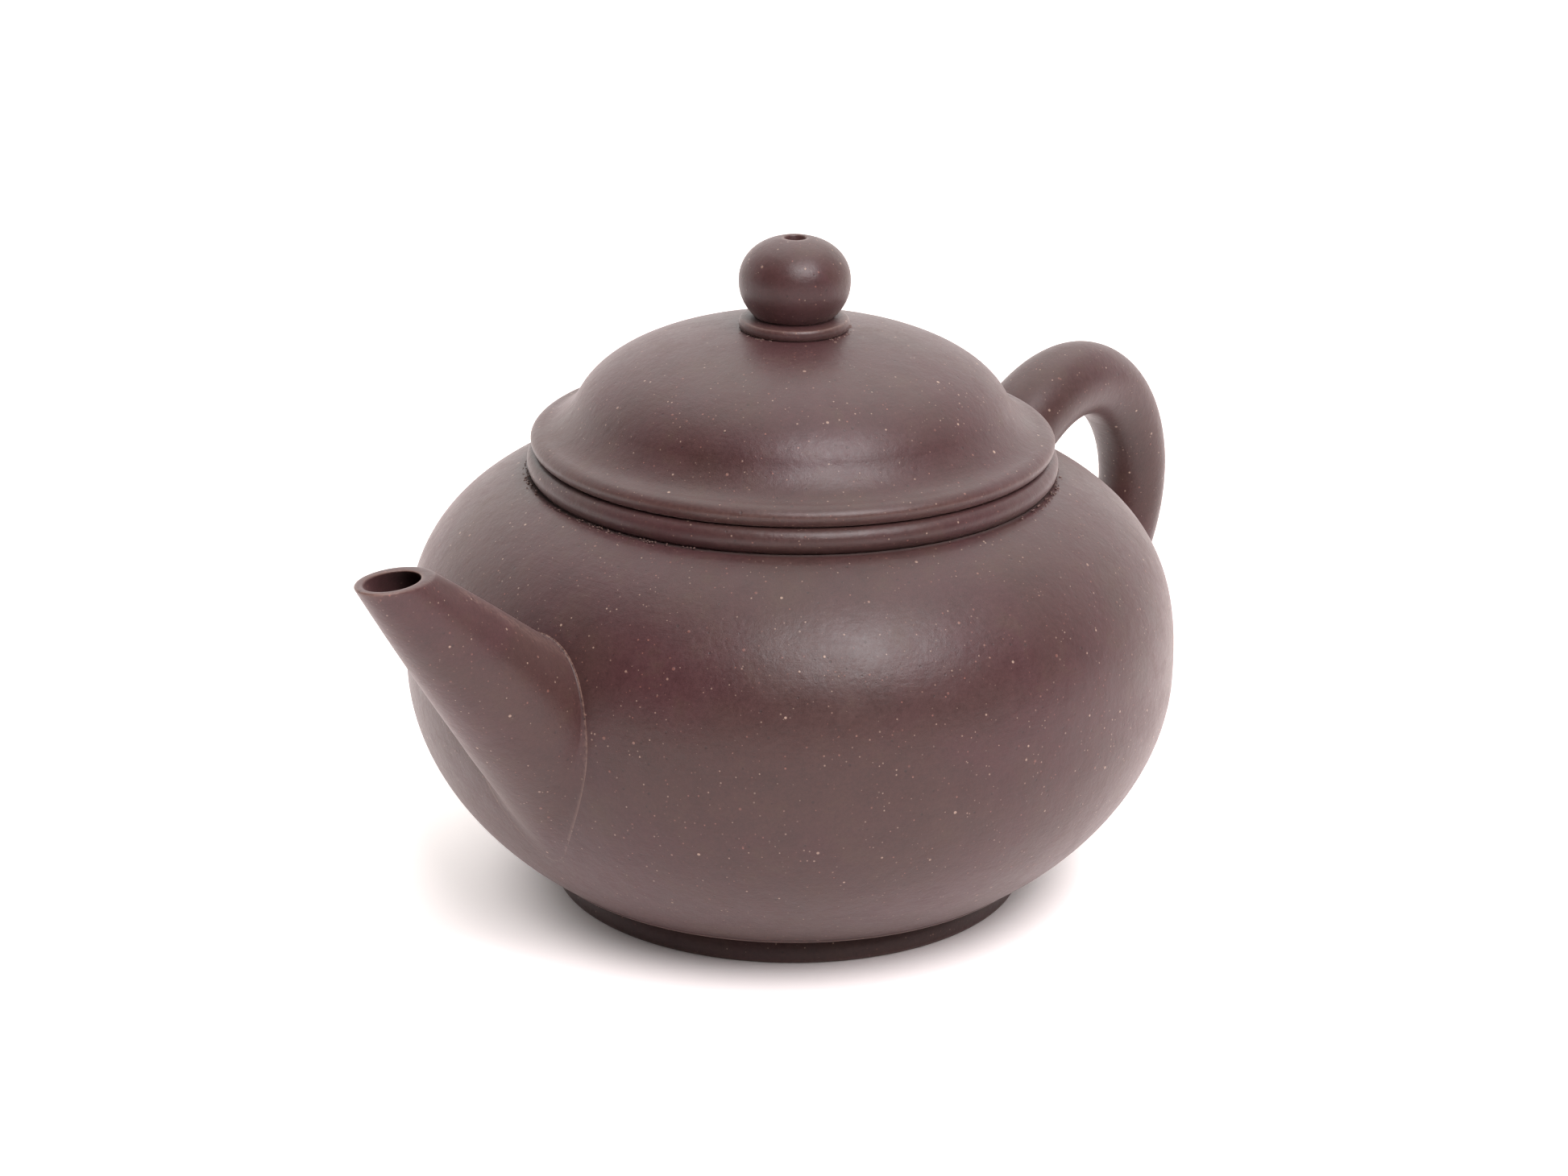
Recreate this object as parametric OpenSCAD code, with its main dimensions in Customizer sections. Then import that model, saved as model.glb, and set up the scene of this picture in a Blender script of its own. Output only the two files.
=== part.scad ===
// A small round clay teapot with a straight tapered spout, an ear-shaped handle and a lift-off lid.
// Every piece is formed by itself, and the pieces of the pot and of the lid are luted together.
// Origin: centre of the foot ring's underside. +Z is up and +X points at the spout.

/* [Belly] */
// Diameter of the belly at its widest line
belly_d = 80; // [60:1:110]
// Height of the widest line above the ground
belly_line_h = 24.3; // [20:0.1:32]
// Height that the shoulder curve would reach above the widest line
belly_rise = 23.65; // [20:0.05:32]
// Depth that the lower curve would reach below the widest line
belly_drop = 28.5; // [26:0.1:38]
// Fullness of the shoulder curve, where 2 is an ellipse
shoulder_power = 2.75; // [2:0.01:3]
// Fullness of the lower curve, where 2 is an ellipse
lower_power = 1.95; // [1.8:0.01:2.4]
// Thickness of the belly wall
belly_wall = 2.6; // [1.8:0.1:3.5]

/* [Foot] */
// Outer diameter of the foot ring at the ground
foot_d = 49.6; // [36:0.2:56]
// Height of the foot ring
foot_h = 3.2; // [1:0.1:4]
// Width of the foot ring
foot_w = 3.4; // [2.4:0.1:6]
// Thickness of the base disc
base_t = 2.6; // [1.8:0.1:4]

/* [Neck] */
// Diameter of the mouth
mouth_d = 45.2; // [30:0.2:47]
// Outer diameter of the neck ring
neck_d = 54.6; // [50:0.2:60]
// Height of the neck ring
neck_h = 2.5; // [1.8:0.1:4]

/* [Lid] */
// Outer diameter of the lid
lid_d = 53.8; // [50:0.2:58]
// Thickness of the lid's rounded edge
lid_edge_t = 2.2; // [1.6:0.1:3.2]
// Height from the lid's underside to the top of the dome
dome_h = 12.8; // [9:0.1:18]
// Fullness of the dome's shoulder, where 2 is an ellipse
dome_power = 2.75; // [2:0.05:3]
// Thickness of the dome
dome_wall = 2.4; // [1.8:0.1:3.2]
// Depth of the skirt below the lid's underside
skirt_h = 7; // [4:0.1:12]
// Thickness of the skirt
skirt_t = 2.2; // [1.6:0.1:3]
// Gap between the skirt and the mouth, all round
lid_gap = 0.3; // [0.2:0.05:0.6]

/* [Knob] */
// Diameter of the ball
knob_d = 11.4; // [8:0.1:16]
// Height of the ball above its collar
knob_h = 8.3; // [6:0.1:12]
// Diameter of the ball where it sits on the collar
knob_base_d = 8; // [5:0.1:8]
// Diameter of the collar
collar_d = 11.3; // [10:0.1:18]
// Height of the collar
collar_h = 1.3; // [0.7:0.05:2]
// Diameter of the vent hole
vent_d = 2.2; // [1.5:0.1:3]

/* [Spout] */
// How far the middle of the spout's mouth stands out from the belly
spout_reach = 17.5; // [14:0.1:22]
// Drop from the rim of the pot to the middle of the spout's mouth
spout_drop = -0.4; // [-2:0.1:4]
// Angle between the spout and the ground
spout_angle = 45; // [38:1:50]
// Outer diameter at the spout's mouth
spout_tip_d = 5.9; // [5.4:0.1:9]
// Outer diameter at the spout's root
spout_root_d = 17; // [13:0.2:19]
// Wall at the spout's mouth
spout_tip_wall = 0.8; // [0.6:0.1:1.4]
// Wall at the spout's root
spout_root_wall = 2.4; // [1.6:0.1:3]
// Downward slope of the cut across the mouth
spout_cut_angle = 1; // [0:1:20]

/* [Strainer] */
// Outer diameter of the pierced dome
strainer_d = 14; // [12:0.2:18]
// Thickness of the pierced dome
strainer_t = 1.4; // [1:0.1:2.4]
// Diameter of each strainer hole
strainer_hole_d = 1.8; // [1.2:0.1:2.2]
// Diameter of the way through the belly wall
port_d = 10; // [7:0.2:11]
// Height of the strainer's centre above the ground
port_h = 28.6; // [24:0.2:32]

/* [Handle] */
// How far the handle's middle line stands out from the belly
handle_reach = 21.5; // [17:0.2:28]
// Drop from the rim of the pot to the top of the handle's middle line
handle_drop = 3.7; // [2:0.1:8]
// Height of the outermost point of the handle's middle line
handle_out_h = 29; // [25:0.2:34]
// Height of the lowest point of the handle's middle line
handle_low_h = 12.4; // [10:0.2:18]
// Thickness of the handle at the upper root
handle_top_t = 9; // [7:0.1:11]
// Thickness of the handle at the outermost point
handle_mid_t = 7.4; // [5.6:0.1:9]
// Thickness of the handle at the lower root
handle_end_t = 7; // [5:0.1:9]
// Width of the handle's section for each unit of its thickness
handle_flat = 1.06; // [0.9:0.01:1.4]

/* [Hidden] */
$fn = 96;

clay = [0.40, 0.33, 0.32];
clay_light = [0.46, 0.39, 0.37];
clay_dark = [0.34, 0.27, 0.26];

belly_r = belly_d / 2;
inner_r = belly_r - belly_wall;
mouth_r = mouth_d / 2;
neck_r = neck_d / 2;
lid_r = lid_d / 2;
foot_r = foot_d / 2;

// Radius of a full curve of the given reach, height and power, at height z from its widest line
function curve_r(z, reach, height, power) = reach * pow(1 - pow(abs(z) / height, power), 1 / power);

// Height of the same curve above its widest line, at radius r
function curve_z(r, reach, height, power) = height * pow(1 - pow(r / reach, power), 1 / power);

// Height of the dome's curve at radius r
function dome_curve(r, reach, height) = height * pow(1 - pow(r / reach, 2), 1 / dome_power);

// Point at t on the cubic curve with four control points
function cubic(p, t) =
  pow(1 - t, 3) * p[0] + 3 * pow(1 - t, 2) * t * p[1] + 3 * (1 - t) * t * t * p[2] + t * t * t * p[3];

function belly_curve(z) =
  z < belly_line_h
    ? curve_r(z - belly_line_h, belly_r, belly_drop, lower_power)
    : curve_r(z - belly_line_h, belly_r, belly_rise, shoulder_power);

function hollow_curve(z) =
  z < belly_line_h
    ? curve_r(z - belly_line_h, inner_r, belly_drop - belly_wall, lower_power)
    : curve_r(z - belly_line_h, inner_r, belly_rise - belly_wall, shoulder_power);

// Heights of the flat seats, from the ground up
floor_h = foot_h + base_t;
shoulder_h = belly_line_h + curve_z(neck_r, belly_r, belly_rise, shoulder_power);
rim_h = shoulder_h + neck_h;
edge_top_h = rim_h + lid_edge_t;

// Seams that the foot ring and the neck ring cover
base_seam_r = foot_r - foot_w / 2;
neck_seam_r = neck_r - 0.9;
ceiling_h = belly_line_h + curve_z(neck_seam_r, inner_r, belly_rise - belly_wall, shoulder_power);

// The dome's foot is nearly upright, and sweeps out to the lid's edge
dome_reach = lid_r - 3.8;
dome_foot_r = dome_reach - 1;
dome_foot_h = rim_h + dome_curve(dome_foot_r, dome_reach, dome_h);
skirt_r = mouth_r - lid_gap;
lid_inner_r = skirt_r - skirt_t;
dome_inner_reach = lid_inner_r + 0.2 * (dome_reach - lid_inner_r);
dome_inner_h = dome_h - dome_wall;
dome_inner_foot_h = rim_h + dome_curve(lid_inner_r, dome_inner_reach, dome_inner_h);
edge_bead_r = lid_edge_t / 2;

// The collar sits on a flat at the top of the dome
collar_r = collar_d / 2;
collar_seat_r = collar_r - 0.35;
collar_seat_h = rim_h + dome_curve(collar_seat_r, dome_reach, dome_h);
knob_seat_h = collar_seat_h + collar_h;
knob_r = knob_d / 2;
knob_base_r = knob_base_d / 2;
knob_line_h = knob_seat_h + 0.44 * knob_h;
knob_drop = (knob_line_h - knob_seat_h) / sqrt(1 - pow(knob_base_r / knob_r, 2));
knob_rise = knob_seat_h + knob_h - knob_line_h;

// The spout's axis starts at the middle of its mouth
spout_tip_x = belly_r + spout_reach;
spout_tip_h = rim_h - spout_drop;
spout_length = (spout_reach + 8) / cos(spout_angle);
spout_run_on = 6;
spout_bulge = 0.2;

step = 1 / 24;

function spout_outer(s) =
  (spout_tip_d + (spout_root_d - spout_tip_d) * (s / spout_length) * (1 + spout_bulge * (1 - s / spout_length))) / 2;

function spout_inner(s) =
  spout_outer(s) - spout_tip_wall - (spout_root_wall - spout_tip_wall) * max(s, 0) / spout_length;

// Half of a rounded bead that stands out from radius r, between heights low and high
function bead(r, out, low, high) = [
  for (i = [0:12])
    let (a = -90 + 15 * i)
      [r + out * pow(cos(a), 0.8), (low + high) / 2 + (high - low) / 2 * sin(a)]
];

// The belly's outer face up to its seam with the neck ring, filled solid
module belly_solid() {
  rotate_extrude()
    polygon(concat(
      [[0, foot_h]],
      [for (t = [0:step:1.001]) let (z = foot_h + (shoulder_h - foot_h) * t) [belly_curve(z), z]],
      [[0, shoulder_h]]
    ));
}

// The belly's inner face, filled solid
module belly_hollow() {
  rotate_extrude()
    polygon(concat(
      [[0, floor_h]],
      [for (t = [0:step:1.001]) let (z = floor_h + (ceiling_h - floor_h) * t) [hollow_curve(z), z]],
      [[0, ceiling_h]]
    ));
}

module belly_shell() {
  color(clay)
    difference() {
      belly_solid();
      belly_hollow();
      translate([0, 0, foot_h - 1])
        cylinder(r = base_seam_r, h = base_t + 2);
      translate([0, 0, ceiling_h - 1])
        cylinder(r = neck_seam_r, h = shoulder_h - ceiling_h + 2);
      translate([0, 0, port_h])
        rotate([0, 90, 0])
          cylinder(d = port_d, h = belly_r + 5);
    }
}

module base_disc() {
  color(clay_dark)
    translate([0, 0, foot_h])
      cylinder(r = base_seam_r, h = base_t);
}

// The ring leans in a little and both of its lower edges are rounded
module foot_ring() {
  edge = min(foot_w, foot_h) / 4;
  inner = foot_r - foot_w;
  color(clay_dark)
    rotate_extrude()
      difference() {
        polygon([
          [inner, edge],
          [inner + edge, 0],
          [foot_r - edge, 0],
          [foot_r, edge],
          [foot_r - 0.25, foot_h],
          [inner, foot_h]
        ]);
        translate([foot_r + 0.1, foot_h])
          circle(r = 0.45, $fn = 24);
      }
}

module mouth_disc() {
  color(clay_dark)
    translate([0, 0, ceiling_h])
      difference() {
        cylinder(r = neck_seam_r, h = shoulder_h - ceiling_h);
        translate([0, 0, -1])
          cylinder(r = mouth_r, h = shoulder_h - ceiling_h + 2);
      }
}

module neck_ring() {
  color(clay)
    rotate_extrude()
      polygon(concat(
        [[mouth_r, shoulder_h]],
        bead(neck_r - 0.7, 0.7, shoulder_h, rim_h),
        [[mouth_r, rim_h]]
      ));
}

// The spout's axis is turned from +Z, with s counted down from the mouth
module place_on_spout_axis() {
  translate([spout_tip_x, 0, spout_tip_h])
    rotate([0, 90 + spout_angle, 180])
      children();
}

module spout() {
  steps = 16;
  cut = 4 * spout_tip_d;
  color(clay_light)
    difference() {
      place_on_spout_axis()
        rotate_extrude()
          polygon(concat(
            [for (i = [0:steps]) let (s = -spout_run_on + (spout_length + spout_run_on) * i / steps) [spout_outer(s), s]],
            [for (i = [steps:-1:0]) let (s = -spout_run_on + (spout_length + spout_run_on) * i / steps) [spout_inner(s), s]]
          ));
      translate([spout_tip_x, 0, spout_tip_h])
        rotate([0, spout_cut_angle, 0])
          translate([-cut, -cut, 0])
            cube([2 * cut, 2 * cut, cut]);
      belly_solid();
    }
}

// A ring of strainer holes, leaning out from the dome's own axis
module strainer_holes(count, lean) {
  for (i = [0:count - 1])
    rotate([0, 0, (i + 0.5) * 360 / count])
      rotate([0, lean, 0])
        cylinder(d = strainer_hole_d, h = strainer_d);
}

module strainer() {
  color(clay_dark)
    intersection() {
      belly_hollow();
      translate([hollow_curve(port_h) - 0.6, 0, port_h])
        rotate([0, -90, 0])
          difference() {
            sphere(d = strainer_d);
            sphere(d = strainer_d - 2 * strainer_t);
            strainer_holes(1, 0);
            strainer_holes(6, 34);
            strainer_holes(10, 62);
          }
    }
}

// The handle's middle line is four curves, joined where it runs level or upright
handle_out_x = belly_r + handle_reach;
handle_top_h = rim_h - handle_drop;
handle_top_x = belly_r + 0.4 * handle_reach;
handle_low_x = belly_r + 0.26 * handle_reach;
handle_line = [
  [[belly_r - 6.5, handle_top_h - 7.3], [belly_r - 1.2, handle_top_h - 2.8],
   [handle_top_x - 5.5, handle_top_h], [handle_top_x, handle_top_h]],
  [[handle_top_x, handle_top_h], [handle_top_x + 7, handle_top_h],
   [handle_out_x, handle_out_h + 7.5], [handle_out_x, handle_out_h]],
  [[handle_out_x, handle_out_h], [handle_out_x, handle_out_h - 8.5],
   [handle_low_x + 8.5, handle_low_h], [handle_low_x, handle_low_h]],
  [[handle_low_x, handle_low_h], [handle_low_x - 3.5, handle_low_h],
   [belly_r - 3, handle_low_h + 0.9], [belly_r - 8, handle_low_h + 2.8]]
];
handle_sizes = [handle_top_t, 0.94 * handle_top_t, handle_mid_t, 0.93 * handle_end_t, handle_end_t] / 2;
handle_steps = 8;
handle_sides = 16;
handle_rings = 4 * handle_steps;

function handle_at(i) =
  let (part = min(floor(i / handle_steps), 3))
    cubic(handle_line[part], i / handle_steps - part);

function handle_radius(i) =
  let (part = min(floor(i / handle_steps), 3), t = i / handle_steps - part)
    handle_sizes[part] + (handle_sizes[part + 1] - handle_sizes[part]) * t;

function unit(v) = v / norm(v);

function handle_way(i) = unit(handle_at(min(i + 1, handle_rings)) - handle_at(max(i - 1, 0)));

function handle_ring(i) =
  let (p = handle_at(i), way = handle_way(i), r = handle_radius(i))
    [for (k = [0:handle_sides - 1])
      let (a = 360 * k / handle_sides, out = r * cos(a), side = r * handle_flat * sin(a))
        [-(p[0] + way[1] * out), side, p[1] - way[0] * out]];

module handle() {
  n = handle_sides;
  points = [for (i = [0:handle_rings]) each handle_ring(i)];
  sides = [
    for (i = [0:handle_rings - 1])
      for (k = [0:n - 1])
        let (a = i * n + k, b = i * n + (k + 1) % n)
          each [[a, b, b + n], [a, b + n, a + n]]
  ];
  first_end = [for (k = [n - 1:-1:0]) k];
  last_end = [for (k = [0:n - 1]) handle_rings * n + k];
  color(clay_light)
    difference() {
      polyhedron(points = points, faces = concat(sides, [first_end, last_end]), convexity = 6);
      belly_solid();
    }
}

// The vent runs through the knob, the collar and the dome on one axis
module vent() {
  translate([0, 0, rim_h])
    cylinder(d = vent_d, h = dome_h + collar_h + knob_h + 5);
}

module lid_flange() {
  foot = [
    [dome_foot_r, dome_foot_h],
    [dome_foot_r + 0.7, dome_foot_h - 0.43 * (dome_foot_h - edge_top_h)],
    [lid_r - 2.7, edge_top_h + 0.15],
    [lid_r - edge_bead_r - 0.3, edge_top_h]
  ];
  color(clay)
    rotate_extrude()
      polygon(concat(
        [[lid_inner_r, rim_h]],
        bead(lid_r - edge_bead_r, edge_bead_r, rim_h, edge_top_h),
        [for (t = [7:-1:0]) cubic(foot, t / 8)],
        [[lid_inner_r, dome_inner_foot_h]]
      ));
}

module lid_dome() {
  steps = 16;
  color(clay)
    difference() {
      rotate_extrude()
        polygon(concat(
          [[0, collar_seat_h]],
          [for (i = [0:steps])
            let (r = collar_seat_r + (dome_foot_r - collar_seat_r) * sin(90 * i / steps))
              [r, rim_h + dome_curve(r, dome_reach, dome_h)]],
          [for (i = [steps:-1:0])
            let (r = lid_inner_r * sin(90 * i / steps))
              [r, rim_h + dome_curve(r, dome_inner_reach, dome_inner_h)]]
        ));
      vent();
    }
}

module lid_skirt() {
  chamfer = skirt_t / 5;
  low = rim_h - skirt_h;
  color(clay_dark)
    rotate_extrude()
      polygon([
        [lid_inner_r, rim_h],
        [lid_inner_r, low + chamfer],
        [lid_inner_r + chamfer, low],
        [skirt_r - chamfer, low],
        [skirt_r, low + chamfer],
        [skirt_r, rim_h]
      ]);
}

module knob_collar() {
  top = knob_seat_h - 0.15;
  color(clay)
    difference() {
      rotate_extrude()
        polygon(concat(
          [[0, collar_seat_h]],
          bead(collar_seat_r, collar_r - collar_seat_r, collar_seat_h, top),
          [[knob_base_r, knob_seat_h], [0, knob_seat_h]]
        ));
      vent();
    }
}

module knob() {
  steps = 12;
  base_angle = acos(knob_base_r / knob_r);
  color(clay)
    difference() {
      rotate_extrude()
        polygon(concat(
          [[0, knob_seat_h]],
          [for (i = [steps:-1:0])
            let (a = base_angle * i / steps)
              [knob_r * cos(a), knob_line_h - knob_drop * sin(a)]],
          [for (i = [1:steps])
            let (a = 90 * i / steps)
              [knob_r * pow(cos(a), 0.91), knob_line_h + knob_rise * pow(sin(a), 0.91)]]
        ));
      vent();
    }
}

belly_shell();
base_disc();
foot_ring();
mouth_disc();
neck_ring();
spout();
strainer();
handle();
lid_flange();
lid_dome();
lid_skirt();
knob_collar();
knob();
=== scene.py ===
import math
import random

import bmesh
import bpy
from mathutils import Matrix, Vector


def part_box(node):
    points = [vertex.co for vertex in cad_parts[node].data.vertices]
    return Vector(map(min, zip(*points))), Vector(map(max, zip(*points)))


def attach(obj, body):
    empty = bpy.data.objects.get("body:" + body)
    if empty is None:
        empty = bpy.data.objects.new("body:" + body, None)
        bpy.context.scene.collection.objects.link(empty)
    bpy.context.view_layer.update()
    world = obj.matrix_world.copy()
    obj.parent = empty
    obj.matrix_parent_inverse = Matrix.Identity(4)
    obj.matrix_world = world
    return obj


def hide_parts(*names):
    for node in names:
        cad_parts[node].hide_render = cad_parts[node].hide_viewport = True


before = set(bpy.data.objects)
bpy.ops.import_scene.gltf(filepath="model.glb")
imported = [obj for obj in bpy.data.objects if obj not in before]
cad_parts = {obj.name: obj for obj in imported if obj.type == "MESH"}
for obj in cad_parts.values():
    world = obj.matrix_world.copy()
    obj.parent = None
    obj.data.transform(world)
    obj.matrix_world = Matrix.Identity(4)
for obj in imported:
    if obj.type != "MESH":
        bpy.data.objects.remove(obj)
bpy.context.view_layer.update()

mm = 0.001    # sizes below are in millimetres, and a finished mesh is scaled to metres


def nodeBox(node):
    low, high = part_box(node)
    return low / mm, high / mm


# the belly's curve, which the spout and the handle are fitted to

belly = {
    "lineHeight": 24.3,       # height of the widest line
    "rise": 23.65,            # reach of the shoulder curve above it
    "drop": 28.5,             # reach of the lower curve below it
    "shoulderPower": 2.75,    # 2 would be an ellipse
    "lowerPower": 1.95,
    "wall": 2.6,
    "edgeRound": 1.2,         # rounding of the lower edge, over the foot
    "edgeLift": 0.5,          # and its height
    "topGap": 0.12,           # the shoulder ends this far below the neck band's foot
    "steps": 90,
    "segments": 192,
}
bellyLow, bellyHigh = nodeBox("belly_shell")
discHigh = nodeBox("base_disc")[1]
mouthLow, mouthHigh = nodeBox("mouth_disc")
neckHigh = nodeBox("neck_ring")[1]
bellyRadius = bellyHigh.y
footTop = bellyLow.z
shoulderHeight = bellyHigh.z
rimHeight = neckHigh.z


def curveRadius(z, reach, rise, drop):
    above = z - belly["lineHeight"]
    height, power = (rise, belly["shoulderPower"]) if above > 0 else (drop, belly["lowerPower"])
    return reach * max(1 - (abs(above) / height) ** power, 0) ** (1 / power)


def bellyCurve(z):
    return curveRadius(z, bellyRadius, belly["rise"], belly["drop"])


def hollowCurve(z):
    wall = belly["wall"]
    return curveRadius(z, bellyRadius - wall, belly["rise"] - wall, belly["drop"] - wall)


def aboveBelly(point):
    return math.hypot(point.x, point.y) - bellyCurve(point.z)


def bellySlope(point):
    across = math.hypot(point.x, point.y)
    lean = (bellyCurve(point.z + 0.01) - bellyCurve(point.z - 0.01)) / 0.02
    return Vector((point.x / across, point.y / across, -lean))


def ontoBelly(point, lift=0.0):
    for _ in range(4):
        slope = bellySlope(point)
        point = point - slope * (aboveBelly(point) / slope.length_squared)
    return point + bellySlope(point).normalized() * lift


# shaders

class Wire:
    def __init__(self, board, socket):
        self.board = board
        self.socket = socket

    def math(self, operation, first, second):
        return self.board.add("ShaderNodeMath", {"operation": operation}, {0: first, 1: second})

    def __add__(self, other):
        return self.math("ADD", self, other)

    def __radd__(self, other):
        return self.math("ADD", other, self)

    def __sub__(self, other):
        return self.math("SUBTRACT", self, other)

    def __rsub__(self, other):
        return self.math("SUBTRACT", other, self)

    def __mul__(self, other):
        return self.math("MULTIPLY", self, other)

    def __rmul__(self, other):
        return self.math("MULTIPLY", other, self)

    def __pow__(self, other):
        return self.math("POWER", self, other)

    def __rpow__(self, other):
        return self.math("POWER", other, self)

    def between(self, low, high):    # 0 at low, 1 at high, smooth in between
        return self.board.add(
            "ShaderNodeMapRange",
            {"interpolation_type": "SMOOTHSTEP"},
            {"Value": self, "From Min": low, "From Max": high},
        )


class Board:
    def __init__(self, owner):
        self.owner = owner
        owner.use_nodes = True
        self.tree = owner.node_tree
        self.tree.nodes.clear()

    def add(self, kind, settings=None, sockets=None, output=0):
        node = self.tree.nodes.new(kind)
        for key, value in (settings or {}).items():
            setattr(node, key, value)
        for key, value in (sockets or {}).items():
            if isinstance(value, Wire):
                self.tree.links.new(value.socket, node.inputs[key])
            else:
                node.inputs[key].default_value = value
        if output == "all":
            return [Wire(self, socket) for socket in node.outputs]
        return Wire(self, node.outputs[output]) if node.outputs else None

    def mix(self, factor, first, second, blend="MIX"):
        settings = {"data_type": "RGBA", "blend_type": blend, "clamp_factor": True}
        return self.add("ShaderNodeMix", settings, {0: factor, 6: first, 7: second}, output=2)

    def noise(self, place, scale, detail=2.0, roughness=0.5, distortion=0.0):
        sockets = {"Vector": place, "Scale": scale, "Detail": detail}
        sockets.update({"Roughness": roughness, "Distortion": distortion})
        return self.add("ShaderNodeTexNoise", {}, sockets, output="Fac")


def shade(red, green, blue):
    return (red, green, blue, 1.0)


def specks(board, place, look):
    # each cell of the pattern may hold one grain of its own size and tint
    cells = {"Vector": place, "Scale": look["perMm"], "Randomness": 1.0}
    distance = board.add("ShaderNodeTexVoronoi", {}, cells, output="Distance")
    chance = board.add("ShaderNodeTexVoronoi", {}, cells, output="Color")
    draw, size, tint = board.add("ShaderNodeSeparateColor", {}, {0: chance}, output="all")
    radius = (size * (look["large"] - look["small"]) + look["small"]) * look["perMm"]
    inside = (radius - distance).between(0.0, look["blur"] * look["perMm"])
    kept = draw.between(1 - look["share"], 1 - look["share"] + 0.002)
    return inside * kept, tint


clayLook = {
    "brown": shade(0.046, 0.0190, 0.0170),
    "plum": shade(0.049, 0.0170, 0.0185),
    "olive": shade(0.043, 0.0230, 0.0160),
    # painted shade: the colour that creases and hollows are darkened towards
    "paintedShadeColour": shade(0.016, 0.008, 0.008),
    "worn": shade(0.24, 0.15, 0.12),
    "paleGrain": shade(0.32, 0.22, 0.17),
    "redGrain": shade(0.22, 0.09, 0.07),
    "darkGrain": shade(0.014, 0.008, 0.008),
    "grains": {"perMm": 0.95, "small": 0.06, "large": 0.20, "blur": 0.07, "share": 0.42},
    "dust": {"perMm": 2.2, "small": 0.04, "large": 0.12, "blur": 0.05, "share": 0.45},
    "soot": {"perMm": 1.2, "small": 0.08, "large": 0.20, "blur": 0.08, "share": 0.25},
    # how fine each pattern is, in turns per millimetre
    "scales": {"patches": 0.06, "clouds": 0.28, "wander": 0.35, "peel": 0.9, "grain": 2.6, "fine": 7.0},
    # height of each pattern in millimetres
    "relief": {"grain": 0.020, "fine": 0.008, "peel": 0.030, "stroke": 0.018, "grains": 0.012},
    "strokeFineness": (6.0, 3.0, 3.0),    # round the pot, outwards and upwards
    "roughness": 0.42,
    "bump": 1.0,
    "sheen": 0.10,
    "sheenTint": shade(1.0, 0.74, 0.70),
}


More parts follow.
